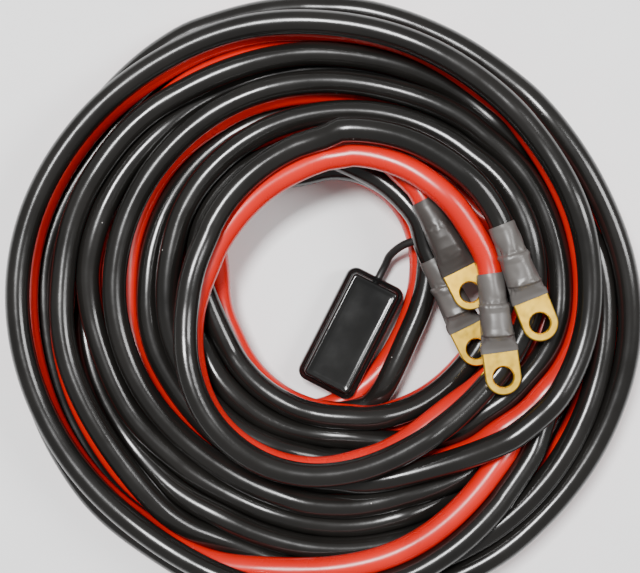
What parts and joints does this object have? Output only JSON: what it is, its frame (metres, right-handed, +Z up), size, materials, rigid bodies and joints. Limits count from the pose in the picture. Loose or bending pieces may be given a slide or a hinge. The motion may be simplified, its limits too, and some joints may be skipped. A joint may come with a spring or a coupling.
{
  "type": "jumper cable",
  "caption": "Round coil of twin red and black power cable, with sleeved brass ring terminals on its ends and a black moulded cap on a strap in its bore",
  "frame": {"origin": "On the floor, at the centre of the coil's outer circle", "axes": "+Z up along the coil's axis, towards the picture's camera; +Y to the picture's top edge; +X to its right"},
  "size_m": [0.292, 0.292, 0.0655],
  "materials": {
    "jacket_black": "glossy flexible vinyl, black",
    "jacket_red": "glossy flexible vinyl, bright red",
    "heat_shrink": "satin heat-shrink tubing, warm dark grey",
    "terminal_brass": "polished, lightly brushed",
    "cap_moulding": "glossy moulded plastic, black",
    "strap_rubber": "matt black rubber"
  },
  "bodies": {
    "root": {"cable_coil": "jacket_black", "tail_black_a": "jacket_black", "tail_black_d": "jacket_black", "loose_turn_black": "jacket_black", "tail_red_b": "jacket_red", "tail_red_c": "jacket_red", "loose_turn_red": "jacket_red", "heat_shrink_sleeve_a": "heat_shrink", "heat_shrink_sleeve_b": "heat_shrink", "heat_shrink_sleeve_c": "heat_shrink", "heat_shrink_sleeve_d": "heat_shrink", "ring_terminal_a": "terminal_brass", "ring_terminal_b": "terminal_brass", "ring_terminal_c": "terminal_brass", "ring_terminal_d": "terminal_brass", "moulded_cap": "cap_moulding", "cap_strap": "strap_rubber"}
  },
  "joints": []
}
